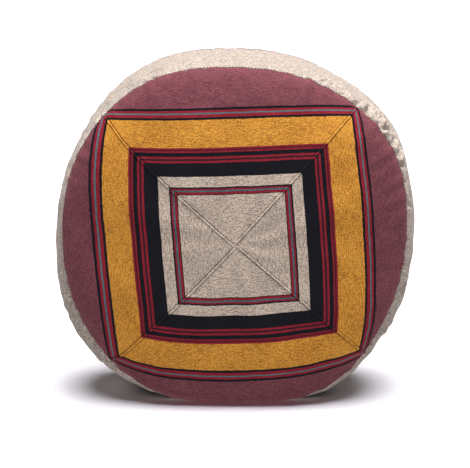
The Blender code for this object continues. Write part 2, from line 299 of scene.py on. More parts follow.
SIM_ANGLES = 360
SIM_RINGS = 30
SIM_ROWS = 16
SIM_FRAMES = 24
FIRST_RING = 0.02          # place of the innermost ring
RING_CROWDING = 1.7        # the sewing's rings lie closer together near the seam
CUT_FULLNESS = 0.53        # half the width that the band is cut to, as a share of its sewn width
START_NOISE = 0.0006       # lets the cloth pick a side to wrinkle to
FREE_HOLD = 0.10           # how firmly cloth away from the seams keeps its place
TIP_HOLD = 0.5
SEAM_HOLDS = (0.75, 0.06, 0.05, 0.06, 0.08)      # on a seam, and 1 to 4 rows from it
FILL_CAP = 0.007           # the filling moves no point further


def ring_fraction(place):
    """Fraction of the face's length at a place from 0, its middle, to 1, its seam."""
    return 1 - (1 - place) ** RING_CROWDING


def ring_place(fraction):
    """The place at which that fraction of the length is reached."""
    return 1 - np.clip(1 - fraction, 0, 1) ** (1 / RING_CROWDING)


def sewn_grid():
    """The cover as sewn, and the flat cloth that it was cut from: two grids of points over the same cloth."""
    angles = np.linspace(0, 2 * math.pi, SIM_ANGLES, endpoint=False)
    place = np.linspace(FIRST_RING, 1, SIM_RINGS)
    across = np.linspace(-1, 1, SIM_ROWS)[1:-1]
    ring_angle, ring = np.meshgrid(angles, ring_fraction(place), indexing="ij")
    row_angle, row = np.meshgrid(angles, across, indexing="ij")
    length = length_at(ring_angle)
    front = face_surface(ring_angle, share_at(ring_angle, ring * length), -1)
    back = face_surface(ring_angle, share_at(ring_angle, ring * length), 1)
    middle = band_surface(row_angle, row)
    reach = ring * length
    flat = np.stack([reach * np.cos(ring_angle), 0 * reach, AXIS_HEIGHT + reach * np.sin(ring_angle)], -1)
    row_reach = length_at(row_angle)
    flat_middle = np.stack([row_reach * np.cos(row_angle), row * BAND_WIDTH * CUT_FULLNESS,
                            AXIS_HEIGHT + row_reach * np.sin(row_angle)], -1)
    half = np.array([0, BAND_WIDTH * CUT_FULLNESS, 0])
    sewn = np.concatenate([front, middle, back[:, ::-1]], axis=1)
    cut = np.concatenate([flat - half, flat_middle, flat[:, ::-1] + half], axis=1)
    return sewn, cut


def sew_and_fill():
    """Fills the sewn cover by cloth simulation, and gives how far each point of it moves."""
    sewn, cut = sewn_grid()
    columns = sewn.shape[1]
    random = np.random.default_rng(21)
    outward = sewn - np.array([0, 0, AXIS_HEIGHT])
    outward /= np.linalg.norm(outward, axis=2, keepdims=True)
    start = sewn + outward * random.uniform(-START_NOISE, START_NOISE, sewn.shape[:2])[..., None]
    index = point_numbers(SIM_ANGLES, columns, True)
    cover = build_mesh("cover_in_the_sewing", start.reshape(-1, 3), quads(index))
    cover.shape_key_add(name="Basis")
    flat_key = cover.shape_key_add(name="flat")
    flat_key.data.foreach_set("co", cut.astype(np.float32).ravel())
    flat_key.value = 0.0
    hold = np.full(columns, FREE_HOLD)
    for seam_column in (SIM_RINGS - 1, SIM_RINGS + SIM_ROWS - 2):
        for step, weight in enumerate(SEAM_HOLDS):
            hold[seam_column - step] = weight
            hold[seam_column + step] = weight
    hold[:3] = hold[-3:] = TIP_HOLD
    group = cover.vertex_groups.new(name="held")
    for column in range(columns):
        group.add([int(i) for i in index[:-1, column]], float(hold[column]), "REPLACE")
    cloth = cover.modifiers.new("filling", "CLOTH")
    settings = cloth.settings
    settings.quality = 6
    settings.mass = 0.25
    settings.tension_stiffness = settings.compression_stiffness = 18
    settings.shear_stiffness = 6
    settings.bending_stiffness = 0.12
    settings.air_damping = 4
    settings.use_pressure = True
    settings.uniform_pressure_force = 5
    settings.effector_weights.gravity = 0
    settings.vertex_group_mass = "held"
    settings.pin_stiffness = 12
    settings.rest_shape_key = flat_key
    cloth.collision_settings.use_collision = False
    cloth.point_cache.frame_start = 1
    cloth.point_cache.frame_end = SIM_FRAMES
    for step in range(1, SIM_FRAMES + 1):
        bpy.context.scene.frame_set(step)
    evaluated = cover.evaluated_get(bpy.context.evaluated_depsgraph_get())
    moved = np.empty(len(evaluated.data.vertices) * 3, np.float32)
    evaluated.data.vertices.foreach_get("co", moved)
    bpy.data.objects.remove(cover, do_unlink=True)
    bpy.context.scene.frame_set(1)
    move = moved.reshape(sewn.shape).astype(float) - sewn
    for _ in range(3):      # the random start must not show
        move = (np.roll(move, 1, axis=0) + 2 * move + np.roll(move, -1, axis=0)) / 4
    size = np.linalg.norm(move, axis=2, keepdims=True)
    print("cover moved, mm: mean", size.mean() * 1000, "most", size.max() * 1000)
    return move * np.minimum(1, FILL_CAP / np.maximum(size, 1e-9))


def cubic_read(field, angle, place):
    """Reads a field, given at equal angles and at whole places, with smooth curves between."""
    turn = (angle / (2 * math.pi) * SIM_ANGLES) % SIM_ANGLES
    row = np.floor(turn).astype(int)
    row_part = (turn - row)[..., None]
    last = field.shape[1] - 1
    column = np.clip(np.floor(place).astype(int), 0, last - 1)
    part = (np.clip(place, 0, last) - column)[..., None]

    lines = []
    for shift in (-1, 0, 1, 2):
        at = (row + shift) % SIM_ANGLES
        points = [field[at, np.clip(column + step, 0, last)] for step in (-1, 0, 1, 2)]
        lines.append(curve(*points, part))
    return curve(*lines, row_part)


CLOTH_DROP = 0.003         # the mitres cross this far below the face's crown
LEAN = 0.077               # the skew that the sewing gave the weave
TURN = 0.034
BOW_DOWN = 0.27            # how the level stripes bow, per metre
CROWD_UP = 0.15            # the cloth is drawn in towards the top, per metre
CROWD_RIGHT = 0.11
CORNER_EASE = 1.8          # the corners are drawn in, per square metre
LEFT_EASE = 0.0042         # the outer stripes of the left panel are sewn in by this much
LEFT_EASE_PLACE = -0.158
LEFT_EASE_REACH = 0.020


def cloth_to_polar(cloth_angle, cloth_radius):
    """Where a point of the flat cloth lies on the face: the sewing skews and bows the weave a little."""
    across = cloth_radius * np.cos(cloth_angle)
    up = cloth_radius * np.sin(cloth_angle)
    x = across * (1.028 - CROWD_RIGHT * across - CORNER_EASE * up ** 2) - up * (LEAN - 1.40 * up ** 2)
    z = up * (1.019 - CROWD_UP * up - CORNER_EASE * across ** 2) + across * (TURN - 0.75 * across ** 2)
    x = x + LEFT_EASE * np.exp(-((across - LEFT_EASE_PLACE) / LEFT_EASE_REACH) ** 2)
    z = z + BOW_DOWN * across ** 2 - CLOTH_DROP
    return np.arctan2(z, x), np.hypot(x, z)


def cloth_edge(cloth_angle):
    """The cloth radius at which the face reaches its seam."""
    low = np.full_like(cloth_angle, 0.15)
    high = np.full_like(cloth_angle, 0.32)
    for _ in range(40):
        middle = (low + high) / 2
        angle, arc = cloth_to_polar(cloth_angle, middle)
        inside = arc < length_at(angle)
        low = np.where(inside, middle, low)
        high = np.where(inside, high, middle)
    return low


def filled_face(angle, share, arc, side):
    """A point of a face after the filling has pushed the cloth out."""
    place = (ring_place(arc / length_at(angle)) - FIRST_RING) / (1 - FIRST_RING) * (SIM_RINGS - 1)
    field = cover_move[:, :SIM_RINGS] if side < 0 else cover_move[:, :-SIM_RINGS - 1:-1]
    settled = smooth(0.35, 0.70, arc / length_at(angle))
    return face_surface(angle, share, side) + cubic_read(field, angle, place) * settled[..., None]


def filled_band(angle, across):
    """A point of the band after the filling has pushed the cloth out; the zip's line keeps its place."""
    place = (across + 1) / 2 * (SIM_ROWS - 1)
    field = cover_move[:, SIM_RINGS - 1:SIM_RINGS + SIM_ROWS - 1]
    held = zip_hold(angle, across)
    return band_surface(angle, across) + cubic_read(field, angle, place) * (1 - held)[..., None]


# ---------------- meshes

def grid_normals(points, outward):
    """Unit normals of a grid of points, by central differences, on the side that outward points to."""
    normal = np.cross(np.gradient(points, axis=0), np.gradient(points, axis=1))
    normal = normal / np.maximum(np.linalg.norm(normal, axis=2, keepdims=True), 1e-12)
    return -normal if np.sum(normal * outward) < 0 else normal


def point_numbers(rows, columns, round_trip=False):
    """Numbers of the points of a grid. A round trip ends on its first row again."""
    index = np.arange(rows * columns).reshape(rows, columns)
    return np.concatenate([index, index[:1]], axis=0) if round_trip else index


def quads(index):
    """One face for each cell of a grid of point numbers."""
    a, b = index[:-1, :-1].ravel(), index[1:, :-1].ravel()
    c, d = index[1:, 1:].ravel(), index[:-1, 1:].ravel()
    return np.stack([a, b, c, d], 1)


def add_object(name, data):
    """A new object in the scene."""
    piece = bpy.data.objects.new(name, data)
    bpy.context.collection.objects.link(piece)
    return piece


def close_poles(piece):
    """Fills the small round holes left at the middles of a round body."""
    work = bmesh.new()
    work.from_mesh(piece.data)
    rims = [edge for edge in work.edges if edge.is_boundary]
    bmesh.ops.holes_fill(work, edges=rims, sides=0)
    work.to_mesh(piece.data)
    work.free()


def closed_sheet(name, points, thickness, uv, inward, round_trip=False, capped=False):
    """A sheet of cloth with real thickness. The points are its outer side; inward leads to its inner side."""
    rows, columns = points.shape[:2]
    outer = points.reshape(-1, 3)
    inner = (points + inward * thickness).reshape(-1, 3)
    index = point_numbers(rows, columns, round_trip)
    shift = rows * columns
    outer_faces = quads(index)
    inner_faces = outer_faces[:, ::-1] + shift
    rims = [index[:, -1]] if capped else [index[:, 0][::-1], index[:, -1]]
    if not round_trip:
        rims += [index[0, :], index[-1, ::-1]]
    rim_faces = []
    for line in rims:
        rim_faces.append(np.stack([line[:-1], line[1:], line[1:] + shift, line[:-1] + shift], 1)[:, ::-1])
    faces = np.concatenate([outer_faces, inner_faces] + rim_faces)
    sheet = build_mesh(name, np.concatenate([outer, inner]), faces, np.concatenate([uv.reshape(-1, 2)] * 2))
    if capped:
        close_poles(sheet)
    return sheet


def build_mesh(name, vertices, faces, uv=None):
    """An object made of faces that all have the same number of corners."""
    mesh = bpy.data.meshes.new(name)
    mesh.vertices.add(len(vertices))
    mesh.vertices.foreach_set("co", np.asarray(vertices, np.float32).ravel())
    mesh.loops.add(faces.size)
    mesh.loops.foreach_set("vertex_index", faces.ravel().astype(np.int32))
    mesh.polygons.add(len(faces))
    mesh.polygons.foreach_set("loop_start", np.arange(0, faces.size, faces.shape[1], dtype=np.int32))
    mesh.update(calc_edges=True)
    if uv is not None:
        layer = mesh.uv_layers.new(name="cloth")
        layer.data.foreach_set("uv", np.asarray(uv, np.float32)[faces.ravel()].ravel())
    mesh.polygons.foreach_set("use_smooth", np.ones(len(faces), bool))
    mesh.validate()
    mesh.update()
    return add_object(name, mesh)


def tidy_mesh(piece):
    """Joins the doubled points at a panel's tip, and points every face outward."""
    work = bmesh.new()
    work.from_mesh(piece.data)
    bmesh.ops.remove_doubles(work, verts=work.verts, dist=2e-6)
    bmesh.ops.dissolve_degenerate(work, edges=work.edges, dist=1e-6)
    bmesh.ops.recalc_face_normals(work, faces=work.faces)
    work.to_mesh(piece.data)
    work.free()
    piece.data.polygons.foreach_set("use_smooth", np.ones(len(piece.data.polygons), bool))
    piece.data.update()


def finish_piece(piece, material, body="cushion", nodes=()):
    """Gives a piece its material, its body and the solids that it stands for."""
    piece.data.materials.clear()
    piece.data.materials.append(material)
    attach(piece, body)
    if nodes:
        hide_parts(*nodes)
    return piece


# Distances from a mitre and from a seam at which a panel's mesh has its lines.
MITRE_OFFSETS = np.array([0.0, 0.0004, 0.0009, 0.0014, 0.0019, 0.0024, 0.0028, 0.0032, 0.0037, 0.0045])
SEAM_OFFSETS = np.array([0.0, 0.0004, 0.0009, 0.0015, 0.0022, 0.0030, 0.0042, 0.0056, 0.0072, 0.0090])
STITCH_OFFSET = 0.0028                 # of the topstitching, from its mitre
TIP_RADII = [0.0003, 0.0012, 0.0024]   # the first rows from the middle of the face


def edge_fitted(length, offsets, count):
    """Places from 0 to length: the offsets from both ends, and even steps between."""
    scale = min(1.0, length / (2.6 * offsets[-1]))
    ends = offsets * scale
    middle = np.linspace(ends[-1], length - ends[-1], count + 2)[1:-1]
    return np.concatenate([ends, middle, length - ends[::-1]])


def panel_grid(middle_angle, columns=96, rows=92):
    """Cloth angles and radii of one quarter panel, closer together at its mitres and at its seam."""
    half = math.pi / 4
    rough = np.linspace(middle_angle - half, middle_angle + half, 33)
    reach = cloth_edge(rough).mean()
    away = np.sort(reach - SEAM_OFFSETS)
    radii = np.concatenate([TIP_RADII, np.linspace(0.004, away[0], rows)[:-1], away]) / reach
    angles = np.empty((len(radii), 2 * len(MITRE_OFFSETS) + columns))
    for row, part in enumerate(radii):
        length = part * reach * 2 * half
        angles[row] = middle_angle - half + edge_fitted(length, MITRE_OFFSETS, columns) / (part * reach)
    edge = cloth_edge(angles[-1])
    edge_radii = np.stack([np.interp(angles[row], angles[-1], edge) for row in range(len(radii))])
    return angles, edge_radii * radii[:, None]


def mitre_relief(from_mitre, side_of_fold, radius):
    """Height of the cloth beside a mitre: on one side a stitched fold, on the other a tuck."""
    fade = smooth(0.0008, 0.0035, radius)
    if side_of_fold:
        raised = 0.0010 * smooth(0, 0.0007, from_mitre) * (1 - smooth(0.0022, 0.0030, from_mitre))
        stitched = -0.0006 * np.exp(-((from_mitre - 0.0031) / 0.0004) ** 2)
        return fade * (raised + stitched - 0.0002)
    tuck = -0.0012 * np.clip(1 - from_mitre / 0.0022, 0, 1) ** 2
    return fade * tuck


def seam_line(side):
    """The line of a seam's thread, and the ways out from it."""
    angles = np.linspace(0, 2 * math.pi, 1441)
    across = np.full_like(angles, float(side))
    points = filled_band(angles[:, None], across[:, None])[:, 0]
    outward = radial(angles)
    points = points - outward * (SEAM_DEPTH - SEAM_THREAD_LIFT)
    points[:, 2] = np.maximum(points[:, 2], 0.0012)
    return points, outward


def make_panel(name, middle_angle, side, cloth):
    """One quarter of a face. Gives the lines of its stitches: the topstitching's and the fold's. The fold's
    dark thread, set in the fold's gap, is both a seam thread and painted shade of that gap.
    """
    cloth_angle, cloth_radius = panel_grid(middle_angle)
    angle, arc = cloth_to_polar(cloth_angle, cloth_radius)
    share = share_at(angle, arc)
    points = filled_face(angle, share, arc, side)
    normal = grid_normals(points, np.array([0, side, 0]))
    from_seam = np.clip(length_at(angle) - arc, 0, None)
    begin, end = cloth_angle[:, :1], cloth_angle[:, -1:]
    first = (cloth_angle - begin) * cloth_radius
    last = (end - cloth_angle) * cloth_radius
    relief = mitre_relief(first, True, cloth_radius) + mitre_relief(last, False, cloth_radius)
    relief = relief * smooth(0, 0.004, from_seam)
    relief += seam_relief(angle + side, from_seam) - seam_groove(from_seam)
    if side < 0:
        for at_degrees, at_reach, half_length, depth in FACE_CREASES:
            dent = crease(angle, from_seam, at_degrees, at_reach, half_length, depth, FACE_CREASE_WIDTH)
            relief += dent * smooth(0, 0.003, from_seam)
    relief += 0.0008 * lump_field(angle, arc) * smooth(0.0, 0.05, arc) * smooth(0.004, 0.03, from_seam)
    clear = smooth(0.0, 0.008, points[..., 2])
    points = points + normal * (relief * clear)[..., None]
    points[..., 2] = np.maximum(points[..., 2], 0.0002)
    turned = cloth_angle - middle_angle
    uv = np.stack([cloth_radius * np.sin(turned), cloth_radius * np.cos(turned)], -1)
    panel = closed_sheet(name + "_cloth", points, COVER_CLOTH, uv, -normal)
    tidy_mesh(panel)
    finish_piece(panel, cloth, nodes=[name])
    stitch_column = int(np.argmin(np.abs(MITRE_OFFSETS - STITCH_OFFSET)))
    return {"top": (points[5:-6, stitch_column], normal[5:-6, stitch_column]),
            "fold": (points[2:-6, 0] - normal[2:-6, 0] * 0.0002, normal[2:-6, 0])}


def band_dents(angle, across, spread=1.0):
    """The creases of the band. A spread above 1 gives the wider hollows of what lies under them."""
    reach = (1 + across) * BAND_WIDTH / 2
    total = 0 * reach
    for number, (at_degrees, at_across, half_length, depth, width) in enumerate(BAND_CREASES):
        slant = 0.5 * math.sin(2.3 * number)
        at_reach = (1 + at_across) * BAND_WIDTH / 2
        half_length, width = half_length * spread, width * spread
        total += crease(angle, reach, at_degrees, at_reach, half_length, depth, width, slant)
    return total


def band_relief(angle, across):
    """Folds and dents of the band."""
    from_front = (1 + across) * BAND_WIDTH / 2
    from_back = (1 - across) * BAND_WIDTH / 2
    relief = seam_relief(angle - 1, from_front) - seam_groove(from_front)
    relief += seam_relief(angle + 1, from_back) - seam_groove(from_back)
    relief += band_dents(angle, across) * smooth(0, 0.003, from_front)
    inside = smooth(0, 0.02, from_front) * smooth(0, 0.02, from_back)
    loose = (0.30 + 1.5 * around(angle, 50, 34) + 0.4 * around(angle, 120, 30)) * smooth(0.35, -0.35, across)
    relief += inside * loose * 0.0011 * band_creases(angle, across * BAND_WIDTH / 2)
    relief += inside * 0.0006 * lump_field(angle + 2, across * BAND_WIDTH)
    return relief * (1 - 0.85 * zip_hold(angle, across, 0.25))


BAND_STEP = 0.0015         # size of the band's mesh round the rim
BAND_ROW = 0.0018          # and across the band


def make_band_sheet(name, start, end, low, high, cloth):
    """A strip of the band between two angles, and between two places across it."""
    step = BAND_STEP / BAND_RADIUS
    angles = np.linspace(start, end, int(round((end - start) / step)) + 1)
    width = (high - low) * BAND_WIDTH / 2
    rows = int(round(width / BAND_ROW))
    across = low + edge_fitted(width, SEAM_OFFSETS, rows) / (BAND_WIDTH / 2)
    grid_angle, grid_across = np.meshgrid(angles, across, indexing="ij")
    points = filled_band(grid_angle, grid_across)
    normal = grid_normals(points, radial(grid_angle))
    clear = smooth(0.0, 0.010, points[..., 2])
    points = points + normal * (band_relief(grid_angle, grid_across) * clear)[..., None]
    points[..., 2] = np.maximum(points[..., 2], 0.0)
    uv = np.stack([grid_angle * BAND_RADIUS, grid_across * BAND_WIDTH / 2], -1)
    sheet = closed_sheet(name + "_cloth", points, COVER_CLOTH, uv, -normal)
    tidy_mesh(sheet)
    return finish_piece(sheet, cloth, nodes=[name])


LINER_LUMPS = 0.0006
LINER_FOOT = LINER_DEPTH - 0.003
FILLING_FOOT = FILLING_DEPTH - 0.002


def make_liner_face(name, side, cloth):
    """A calico disc just inside the striped cover."""
    angles = np.linspace(0, 2 * math.pi, 241)[:-1]
    share = np.sin(np.linspace(0.004, math.pi / 2 * 0.985, 64))
    grid_angle, grid_share = np.meshgrid(angles, share, indexing="ij")
    points = face_surface(grid_angle, grid_share, side, LINER_DEPTH)
    around_again = np.concatenate([points[-2:], points, points[:2]])
    normal = grid_normals(around_again, np.array([0, side, 0]))[2:-2]
    points = points + normal * (LINER_LUMPS * lump_field(grid_angle * 3, grid_share * 0.2))[..., None]
    points[..., 2] = np.maximum(points[..., 2], LINER_FOOT)
    uv = np.stack([np.cos(grid_angle), np.sin(grid_angle)], -1) * (grid_share * 0.22)[..., None]
    disc = closed_sheet(name + "_calico", points, LINER_CLOTH, uv, -normal, round_trip=True, capped=True)
    tidy_mesh(disc)
    return finish_piece(disc, cloth, nodes=[name])


def make_liner_band(name, cloth):
    """The calico band between the liner's two discs."""
    angles = np.linspace(0, 2 * math.pi, 541)[:-1]
    across = np.linspace(-0.97, 0.97, 30)
    grid_angle, grid_across = np.meshgrid(angles, across, indexing="ij")
    points = band_surface(grid_angle, grid_across, LINER_DEPTH)
    outward = radial(grid_angle)
    hollow = np.minimum(band_dents(grid_angle, grid_across, 1.5), 0)
    lumps = LINER_LUMPS * lump_field(grid_angle * 3, grid_across * 0.06)
    points = points + outward * (lumps + hollow)[..., None]
    points[..., 2] = np.maximum(points[..., 2], LINER_FOOT)
    uv = np.stack([grid_angle * BAND_RADIUS, grid_across * BAND_WIDTH / 2], -1)
    strip = closed_sheet(name + "_calico", points, LINER_CLOTH, uv, -outward, round_trip=True)
    tidy_mesh(strip)
    return finish_piece(strip, cloth, nodes=[name])


def make_filling(name, fibre_material):
    """The fibre filling: one plump body just inside the liner."""
    angles = np.linspace(0, 2 * math.pi, 361)[:-1]
    share = np.sin(np.linspace(0.004, math.pi / 2 * 0.97, 56))
    across = np.linspace(-0.94, 0.94, 26)
    face_angle, face_share = np.meshgrid(angles, share, indexing="ij")
    band_angle, band_across = np.meshgrid(angles, across, indexing="ij")
    front = face_surface(face_angle, face_share, -1, FILLING_DEPTH)
    hollow = np.minimum(band_dents(band_angle, band_across, 1.7), 0)
    middle = band_surface(band_angle, band_across, FILLING_DEPTH) + radial(band_angle) * hollow[..., None]
    back = face_surface(face_angle, face_share, 1, FILLING_DEPTH)[:, ::-1]
    points = np.concatenate([front, middle, back], axis=1)
    centre = np.array([0, 0, AXIS_HEIGHT])
    tufts = Waves(17, (20, 60), 90, 30)(np.repeat(angles[:, None], points.shape[1], 1), points[..., 1])
    points = centre + (points - centre) * (0.996 + 0.003 * tufts)[..., None]
    points[..., 2] = np.maximum(points[..., 2], FILLING_FOOT)
    index = point_numbers(*points.shape[:2], True)
    body = build_mesh(name + "_fibre", points.reshape(-1, 3), quads(index))
    close_poles(body)
    tidy_mesh(body)
    finish_piece(body, fibre_material, nodes=[name])
    return body


# ---------------- thread

THREAD_SIDES = 6

# Kinds of stitch: length, gap and thread radius.
TOPSTITCH = (0.0030, 0.0007, 0.00036)
# The fold's stitches run almost unbroken: a seam thread, and painted shade of the fold's gap.
FOLD_STITCH_AND_SHADE = (0.0026, 0.0003, 0.00034)
SEAM_STITCH = (0.0036, 0.0004, 0.00052)
ZIP_STITCH = (0.0026, 0.0007, 0.00028)

STITCH_PLACES = np.array([0.0, 0.18, 0.5, 0.82, 1.0])       # of a stitch's rings, along it
STITCH_LIFTS = np.array([-1.0, 0.25, 0.55, 0.25, -1.0])     # of the rings, in thread radii
STITCH_SIZES = np.array([0.55, 1.0, 1.0, 1.0, 0.55])        # of the rings, in thread radii


def thread_dashes(name, lines, stitch, material):
    """Short rounded stitches along lines of points. Each is a small tube that dips in at both ends."""
    dash, gap, radius = stitch
    vertices, faces = [], []
    sides = THREAD_SIDES
    for path, out in lines:
        steps = np.linalg.norm(np.diff(path, axis=0), axis=1)
        length = np.concatenate([[0], np.cumsum(steps)])
        start = gap
        while start + dash < length[-1]:
            places = start + dash * STITCH_PLACES
            centre = np.stack([np.interp(places, length, path[:, axis]) for axis in range(3)], 1)
            up = np.stack([np.interp(places, length, out[:, axis]) for axis in range(3)], 1)
            up /= np.linalg.norm(up, axis=1, keepdims=True)
            run = centre[-1] - centre[0]
            run /= np.linalg.norm(run)
            aside = np.cross(run, up)
            aside /= np.linalg.norm(aside, axis=1, keepdims=True)
            lift = STITCH_LIFTS * radius
            size = STITCH_SIZES * radius
            base = sum(len(block) for block in vertices)
            turn = np.arange(sides) / sides * 2 * math.pi
            rings = (centre + up * lift[:, None])[:, None] + size[:, None, None] * (
                np.cos(turn)[None, :, None] * aside[:, None] + np.sin(turn)[None, :, None] * up[:, None])
            vertices.append(rings.reshape(-1, 3))
            for ring in range(4):
                for side in range(sides):
                    one = base + ring * sides + side
                    two = base + ring * sides + (side + 1) % sides
                    faces.append((one, two, two + sides, one + sides))
            for ring in (0, 4):
                tip = base + ring * sides
                faces.append((tip, tip + 1, tip + 2, tip + 3))
                faces.append((tip, tip + 3, tip + 4, tip + 5))
            start += dash + gap
    piece = build_mesh(name, np.concatenate(vertices), np.array(faces))
    tidy_mesh(piece)
    return finish_piece(piece, material)


# ---------------- zip

TAPE_RADIUS = 0.2279          # of the tapes' outer side, from the axis
TAPE_WIDTH = 0.0124
TAPE_CLOTH = 0.0004
TAPE_RIB = 0.00018
TEETH_BASE = 0.2283
TEETH_TOP = 0.2299
CHAIN_HALF_GAP = 0.0007       # half the gap between the tapes
CHAIN_EDGE = 0.0031           # outer edge of a row of teeth
FACING_EDGE = 0.00465         # inner edge of a facing
COIL_PITCH = 0.00125
COIL_WIRE = 0.00028
COIL_STEPS = 14               # points in each turn of the coil
COIL_SIDES = 7


def on_band(radius, y, angle):
    """Points at a radius from the axis; the angle goes from +X, counter-clockwise from the front."""
    return np.stack([radius * np.cos(angle), y + 0 * angle, AXIS_HEIGHT + radius * np.sin(angle)], -1)


def make_tape(name, side, cloth):
    """One woven zip tape, with a rib along it beside the coil."""
    tuck = 0.012 / BAND_RADIUS
    angles = np.linspace(ZIP_FROM - tuck, ZIP_TO + tuck, 260)
    across = np.linspace(CHAIN_HALF_GAP, CHAIN_HALF_GAP + TAPE_WIDTH, 26)
    grid_angle, grid_across = np.meshgrid(angles, across, indexing="ij")
    rib = TAPE_RIB * np.exp(-((grid_across - 0.0042) / 0.0004) ** 2)
    points = on_band(TAPE_RADIUS - TAPE_RIB + rib, side * grid_across, grid_angle)
    uv = np.stack([grid_angle * BAND_RADIUS, grid_across], -1)
    tape = closed_sheet(name + "_woven", points, TAPE_CLOTH, uv, -radial(grid_angle))
    tidy_mesh(tape)
    return finish_piece(tape, cloth, nodes=[name])


def make_coil(name, side, nylon):
    """One row of zip teeth: a nylon thread wound in a flat coil."""
    clear = 0.0040 / BAND_RADIUS
    start = ZIP_FROM + clear
    end = ZIP_TO - clear
    turns = int((end - start) * BAND_RADIUS / COIL_PITCH)
    steps = np.arange(turns * COIL_STEPS + 1)
    turn = steps / COIL_STEPS * 2 * math.pi + (math.pi if side > 0 else 0)
    angle = start + steps / COIL_STEPS * COIL_PITCH / BAND_RADIUS
    middle_y = (CHAIN_HALF_GAP + CHAIN_EDGE) / 2
    half_width = (CHAIN_EDGE - CHAIN_HALF_GAP) / 2 - COIL_WIRE
    half_height = (TEETH_TOP - TEETH_BASE) / 2 - COIL_WIRE
    y = side * (middle_y + half_width * np.cos(turn))
    radius = (TEETH_BASE + TEETH_TOP) / 2 + half_height * np.sin(turn)
    centre = on_band(radius, y, angle)
    run = np.gradient(centre, axis=0)
    run /= np.linalg.norm(run, axis=1, keepdims=True)
    spine = on_band((TEETH_BASE + TEETH_TOP) / 2, side * middle_y, angle)
    out = centre - spine
    out -= run * np.sum(out * run, axis=1, keepdims=True)
    out /= np.linalg.norm(out, axis=1, keepdims=True)
    aside = np.cross(run, out)
    round_wire = (np.arange(COIL_SIDES) / COIL_SIDES * 2 * math.pi)[None, :, None]
    skin = np.cos(round_wire) * out[:, None] + np.sin(round_wire) * aside[:, None]
    rings = centre[:, None] + COIL_WIRE * skin
    index = point_numbers(len(steps), COIL_SIDES)
    index = np.concatenate([index, index[:, :1]], axis=1)
    coil = build_mesh(name + "_coil", rings.reshape(-1, 3), quads(index))
    close_poles(coil)
    tidy_mesh(coil)
    return finish_piece(coil, nylon, nodes=[name])


def facing_stitch_line(side):
    """The line of stitches that holds a facing to the zip tape."""
    angles = np.linspace(ZIP_FROM + 0.02, ZIP_TO - 0.02, 500)
    across = np.full_like(angles, side * (FACING_EDGE + 0.0026) / (BAND_WIDTH / 2))
    points = filled_band(angles[:, None], across[:, None])[:, 0]
    outward = radial(angles)
    relief = band_relief(angles, across)
    return points + outward * (relief + 0.0001)[:, None], outward


STOP_EDGE = 0.00025          # how far the edges of the metal pieces are rounded
SLIDER_EDGE = 0.00018
PULL_EDGE = 0.00022


def rounded_copy(node_name, width, finish_material, body="cushion"):
    """A metal piece of the zip, as the solid model has it, with its edges rounded."""
    work = bmesh.new()
    work.from_mesh(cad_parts[node_name].data)
    bmesh.ops.remove_doubles(work, verts=work.verts, dist=1e-6)
    bmesh.ops.dissolve_limit(work, angle_limit=math.radians(2), verts=work.verts, edges=work.edges)
    sharp = [edge for edge in work.edges if edge.is_manifold and edge.calc_face_angle() > math.radians(35)]
    bmesh.ops.bevel(work, geom=sharp, offset=width, segments=2, affect="EDGES", clamp_overlap=True)
    bmesh.ops.recalc_face_normals(work, faces=work.faces)
    mesh = bpy.data.meshes.new(node_name + "_metal")
    work.to_mesh(mesh)
    work.free()
    piece = add_object(node_name + "_metal", mesh)
    return finish_piece(piece, finish_material, body, [node_name])


# ---------------- materials

def linear(red, green, blue):
    """A colour given in the usual 0 to 255 steps, as light."""
    values = []
    for part in (red, green, blue):
        part /= 255
        values.append(part / 12.92 if part <= 0.04045 else ((part + 0.055) / 1.055) ** 2.4)
    return (*values, 1.0)


class Shader:
    """A small helper that strings shader nodes together."""

    def __init__(self, name, **sockets):
        self.material = bpy.data.materials.new(name)
        self.material.use_nodes = True
        self.tree = self.material.node_tree
        self.surface = self.tree.nodes["Principled BSDF"]
        for socket, value in sockets.items():
            self.surface.inputs[socket.replace("_", " ")].default_value = value

    def add(self, kind, inputs=None, output=0, **settings):
        node = self.tree.nodes.new(kind)
        for key, value in settings.items():
            setattr(node, key, value)
        for key, value in (inputs or {}).items():
            if isinstance(value, bpy.types.NodeSocket):
                self.tree.links.new(value, node.inputs[key])
            else:
                node.inputs[key].default_value = value
        return node.outputs[output]

    def math(self, operation, first, second=0.0, third=0.0):
        return self.add("ShaderNodeMath", {0: first, 1: second, 2: third}, operation=operation)

    def noise(self, place, scale, detail=2.0, roughness=0.5):
        inputs = {"Vector": place, "Scale": scale, "Detail": detail, "Roughness": roughness}
        return self.add("ShaderNodeTexNoise", inputs)

    def stretch(self, place, scale):
        return self.add("ShaderNodeVectorMath", {0: place, 1: scale}, operation="MULTIPLY")

    def remap(self, value, low, high, to_low, to_high):
        inputs = {"Value": value, "From Min": low, "From Max": high, "To Min": to_low, "To Max": to_high}
        return self.add("ShaderNodeMapRange", inputs)

    def mix(self, share, first, second):
        node = self.tree.nodes.new("ShaderNodeMix")
        node.data_type = "RGBA"
        for socket, value in ((node.inputs[0], share), (node.inputs[6], first), (node.inputs[7], second)):
            if isinstance(value, bpy.types.NodeSocket):
                self.tree.links.new(value, socket)
            else:
                socket.default_value = value
        return node.outputs[2]

    def ramp(self, value, stops, interpolation="LINEAR"):
        node = self.tree.nodes.new("ShaderNodeValToRGB")
        node.color_ramp.interpolation = interpolation
        elements = node.color_ramp.elements
        elements[0].position, elements[0].color = stops[0]
        elements[1].position, elements[1].color = stops[1]
        for position, colour in stops[2:]:
            element = elements.new(position)
            element.color = colour
        self.tree.links.new(value, node.inputs[0])
        return node.outputs[0]

    def colour(self, value):
        self.tree.links.new(value, self.surface.inputs["Base Color"])

    def rough(self, value):
        self.tree.links.new(value, self.surface.inputs["Roughness"])

    def bump(self, height, distance, strength=1.0):
        normal = self.add("ShaderNodeBump", {"Height": height, "Distance": distance, "Strength": strength})
        self.tree.links.new(normal, self.surface.inputs["Normal"])


CLOTH_REACH = 0.26         # the stripes' colour ramps end at this distance from the middle

